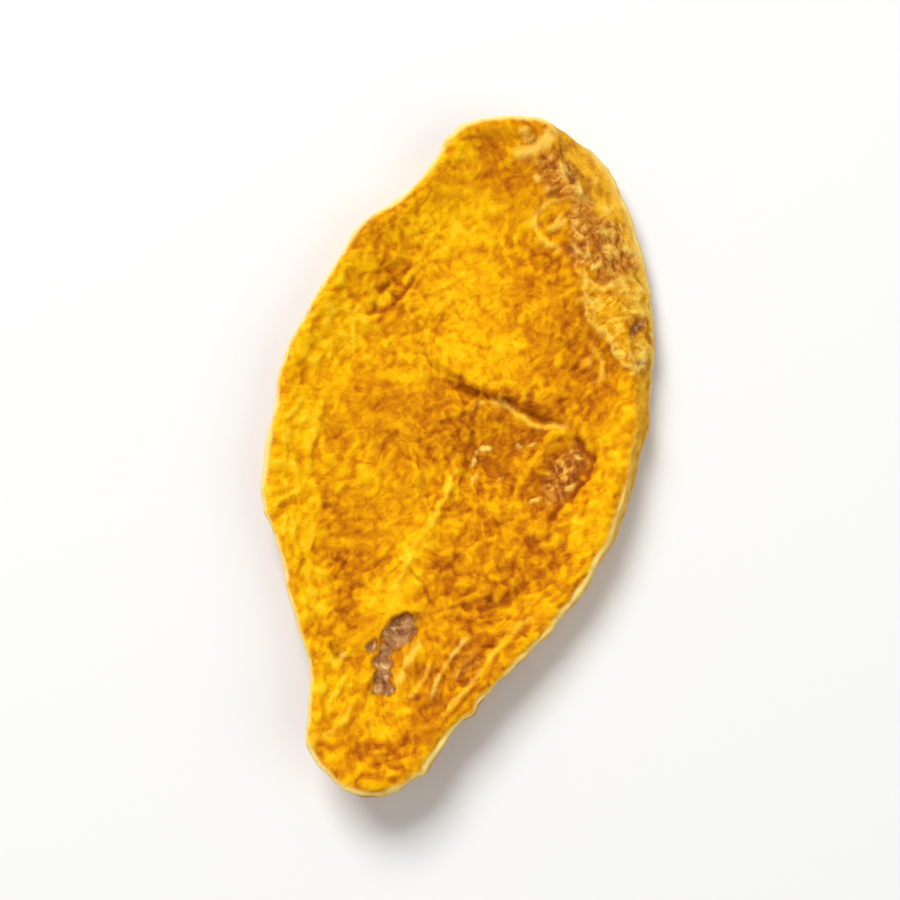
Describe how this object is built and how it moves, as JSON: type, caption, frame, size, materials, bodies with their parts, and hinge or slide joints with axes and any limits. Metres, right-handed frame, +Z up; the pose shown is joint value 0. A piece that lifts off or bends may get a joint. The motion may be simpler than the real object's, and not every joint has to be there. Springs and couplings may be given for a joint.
{
  "type": "dried turmeric root slice",
  "caption": "Dried oblique slice of turmeric root with sunken cut faces, a raised rim and wrinkled bark, resting on a flat spot.",
  "frame": {"origin": "on the surface that the slice lies on, below the middle of its bounding box", "axes": "+Z up out of the upper cut face, +Y along the slice's length towards its broad end, +X across it"},
  "size_m": [0.021, 0.04, 0.0044],
  "materials": {
    "dried_turmeric": "matt, powdery, dried root flesh with tan bark at the edge"
  },
  "bodies": {
    "root": {"turmeric_slice": "dried_turmeric"}
  },
  "joints": []
}
